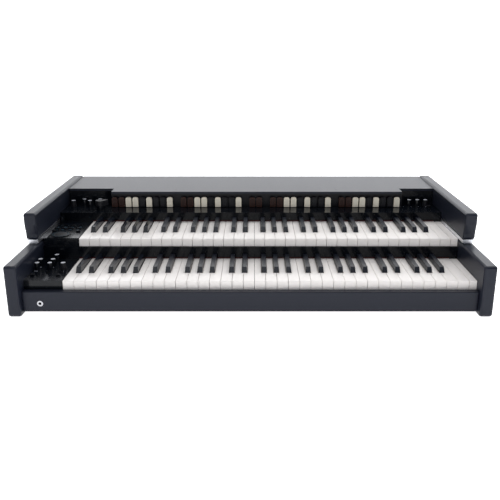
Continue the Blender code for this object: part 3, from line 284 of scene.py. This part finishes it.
def block_piece(name, limits, material, body="case"):
    """Makes a piece of boxes, each given by its limits along X, Y and Z."""
    points, faces = [], []
    for (x0, x1), (y0, y1), (z0, z1) in limits:
        base = len(points)
        points += [(x, y, z) for z in (z0, z1) for x, y in ((x0, y0), (x1, y0), (x1, y1), (x0, y1))]
        faces += [tuple(base + corner for corner in face) for face in (
            (0, 3, 2, 1), (4, 5, 6, 7), (0, 1, 5, 4), (1, 2, 6, 5), (2, 3, 7, 6), (3, 0, 4, 7))]
    mesh = bpy.data.meshes.new(name)
    mesh.from_pydata(points, [], faces)
    mesh.materials.append(material)
    made = bpy.data.objects.new(name, mesh)
    scene.collection.objects.link(made)
    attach(made, body)


felt_red = finish("felt_dark_red", (0.085, 0.010, 0.010), roughness=0.95, grain=0.05,
                  grain_scale=700.0)
for manual, wall_node, set_back in (("lower", "name_rail", 0.0),
                                    ("upper", "control_panel", FASCIA_LIP)):
    wall_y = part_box(wall_node)[0].y + set_back
    left_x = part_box(f"{manual}_side_panel")[1].x + FELT_FROM_PANEL
    right_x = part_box(f"{manual}_keybed")[1].x - FELT_FROM_BED_END
    felt_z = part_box(f"{manual}_key_c")[1].z + FELT_OVER_KEYS
    block_piece(f"{manual}_felt", [((left_x, right_x), (wall_y - FELT_FRONT, wall_y - FELT_BACK),
                                    (felt_z, felt_z + FELT_H))], felt_red)

# Knob tops. A light plastic disc lies on the head of each knob of the control panel and of
# the lower side panel. Those of the fixed knobs are one piece for each panel, placed from
# its turning knobs by (right, back) steps.
MARK_T = 0.0002
DISC_SIDES = 20
KNOB_TOP_R = 0.0048
LEFT_KNOB_STEPS = ((0.024, 0.016), (0.042, 0.0), (0.065, 0.016))
RIGHT_KNOB_STEPS = ((-0.042, 0.0), (-0.0205, 0.0))
LOWER_KNOB_STEPS = ((-0.0565, 0.0), (-0.029, 0.0), (-0.0565, 0.025), (-0.029, 0.025),
                    (-0.029, 0.056))


def discs(name, spots, radius, material, body="case"):
    """Makes a piece of thin discs, each standing on its (x, y, z) spot."""
    points, faces = [], []
    for x, y, z in spots:
        base = len(points)
        for height in (z, z + MARK_T):
            points += [(x + radius * math.cos(2 * math.pi * i / DISC_SIDES),
                        y + radius * math.sin(2 * math.pi * i / DISC_SIDES), height)
                       for i in range(DISC_SIDES)]
        top = base + DISC_SIDES
        faces.append(tuple(base + i for i in reversed(range(DISC_SIDES))))
        faces.append(tuple(top + i for i in range(DISC_SIDES)))
        faces += [(base + i, base + (i + 1) % DISC_SIDES, top + (i + 1) % DISC_SIDES, top + i)
                  for i in range(DISC_SIDES)]
    mesh = bpy.data.meshes.new(name)
    mesh.from_pydata(points, [], faces)
    mesh.materials.append(material)
    made = bpy.data.objects.new(name, mesh)
    scene.collection.objects.link(made)
    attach(made, body)


def top_middle(name):
    """Gives the middle of a node's top."""
    low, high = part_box(name)
    return (low.x + high.x) / 2, (low.y + high.y) / 2, high.z


def spots_from(spot, steps):
    """Gives the spots at (right, back) steps from one spot."""
    return [(spot[0] + right, spot[1] + back, spot[2]) for right, back in steps]


knob_top = finish("knob_top_grey", (0.52, 0.53, 0.56), roughness=0.35, grain=0.05)
left_spot = top_middle("left_knob")
right_spot = top_middle("right_knob")
lower_spot = top_middle("lower_knob")
lower_tops = spots_from(lower_spot, LOWER_KNOB_STEPS)
discs("deck_knob_tops",
      spots_from(left_spot, LEFT_KNOB_STEPS) + spots_from(right_spot, RIGHT_KNOB_STEPS),
      KNOB_TOP_R, knob_top)
discs("lower_knob_tops", lower_tops, KNOB_TOP_R, knob_top)
for knob, spot in (("left_knob", left_spot), ("right_knob", right_spot),
                   ("lower_knob", lower_spot)):
    discs(f"{knob}_top", [spot], KNOB_TOP_R, knob_top, f"{knob}_body")

# Lower marks. Bare ticks are printed on the lower side panel, before its turning knob and
# four of its fixed ones, where the real panel has labels.
KNOB_H = 0.0155
TICK_HALF_W = 0.004
TICK_FRONT = 0.0125
TICK_BACK = 0.011
TICKED_KNOBS = 4
print_grey = finish("print_grey", (0.42, 0.44, 0.50), roughness=0.55, grain=0.04)
lower_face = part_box("lower_side_panel")[1].z - KNOB_H
block_piece("lower_marks",
            [((x - TICK_HALF_W, x + TICK_HALF_W), (y - TICK_FRONT, y - TICK_BACK),
              (lower_face, lower_face + MARK_T))
             for x, y, _ in (*lower_tops[:TICKED_KNOBS], lower_spot)], print_grey)

# Drawbar faces. A slightly greyer plastic panel lies on the face of each cap, and a moulded
# ridge runs across it, which the player's fingers pull on.
FACE_HALF_W = 0.0048
FACE_T = 0.0002
FACE_FOOT = 0.0022
FACE_HEAD = 0.0205
RIDGE_OUT = 0.0007
RIDGE_H = 0.0012
RIDGE_UP = 0.0035
face_finish = {"cream": finish("cream_face", (0.84, 0.78, 0.64), roughness=0.40),
               "brown": finish("brown_face", (0.028, 0.012, 0.009), roughness=0.40),
               "black": finish("black_face", (0.013, 0.013, 0.015), roughness=0.40)}


def cap_face(index):
    """Gives the face panel and the ridge of the cap at a place in the row."""
    middle = bar_middle + index * bar_pitch
    across = (middle - FACE_HALF_W, middle + FACE_HALF_W)
    low, high = first_low.z + FACE_FOOT, first_low.z + FACE_HEAD
    ridge = low + RIDGE_UP
    return [(across, (first_low.y - FACE_T, first_low.y), (low, high)),
            (across, (first_low.y - RIDGE_OUT, first_low.y - FACE_T), (ridge, ridge + RIDGE_H))]


for index, (bar, color_name) in enumerate(zip(BAR_NAMES, SET_ORDER)):
    block_piece(f"drawbar_{bar}_face", cap_face(index), face_finish[color_name],
                f"drawbar_{bar}_body")
faced_bars = [(index, "brown") for index in PEDAL_BARS] + fixed_bars
for color_name, material in face_finish.items():
    faces_of_color = [block for index, own_color in faced_bars if own_color == color_name
                      for block in cap_face(index)]
    block_piece(f"fixed_{color_name}_faces", faces_of_color, material)

# Upper marks. Rows of small bluish marks are printed on the upper side panel, by its
# buttons.
BLUE_MARK_COLUMNS = (0.010, 0.026, 0.0435, 0.062)
BLUE_MARK_ROWS = (0.066, 0.090, 0.104)
BLUE_MARK_HALF_W = 0.0035
BLUE_MARK_D = 0.0012
print_blue = finish("print_blue", (0.10, 0.17, 0.22), roughness=0.45, grain=0.04)
upper_low, upper_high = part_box("upper_side_panel")
upper_face = upper_high.z - KNOB_H
block_piece("upper_marks",
            [((upper_low.x + across - BLUE_MARK_HALF_W, upper_low.x + across + BLUE_MARK_HALF_W),
              (upper_low.y + back, upper_low.y + back + BLUE_MARK_D),
              (upper_face, upper_face + MARK_T))
             for back in BLUE_MARK_ROWS for across in BLUE_MARK_COLUMNS], print_blue)

# Dial. On the flat round dial of the upper side panel lies a thin dark teal plate, and on
# that a smaller plate of black plastic, so that a teal rim shows.
DIAL_PLACE = (0.032, 0.0272)
DIAL_H = 0.0015
DIAL_PLATE_R = 0.0205
DIAL_CENTRE_R = 0.0150
teal = finish("dial_teal", (0.006, 0.017, 0.024), roughness=0.22)
dial_spot = (upper_low.x + DIAL_PLACE[0], upper_low.y + DIAL_PLACE[1])
discs("dial_plate", [(*dial_spot, upper_face + DIAL_H)], DIAL_PLATE_R, teal)
discs("dial_centre", [(*dial_spot, upper_face + DIAL_H + MARK_T)], DIAL_CENTRE_R, plastic)

# Deck labels. A bare light label is printed on the deck behind each of the four buttons at
# the right of the control panel, with no words.
LABEL_HALF_W = 0.005
LABEL_FRONT = 0.0055
LABEL_BACK = 0.0072
BUTTON_STEPS_LEFT = (0.0, 0.019, 0.038, 0.058)
button_x, button_y, _ = top_middle("effect_button")
deck_face = left_spot[2] - KNOB_H
block_piece("deck_labels",
            [((button_x - step - LABEL_HALF_W, button_x - step + LABEL_HALF_W),
              (button_y + LABEL_FRONT, button_y + LABEL_BACK), (deck_face, deck_face + MARK_T))
             for step in BUTTON_STEPS_LEFT], print_grey)

# Cover screws. The heads of the two small dark screws that hold the top cover near its
# front edge.
SCREW_R = 0.0032
SCREW_XS = (-0.194, 0.220)
SCREW_FROM_FRONT = 0.032
cover_low, cover_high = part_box("top_cover")
screw_y = cover_low.y + SCREW_FROM_FRONT
discs("cover_screws", [(x, screw_y, cover_high.z) for x in SCREW_XS], SCREW_R,
      cap_finish["black"])
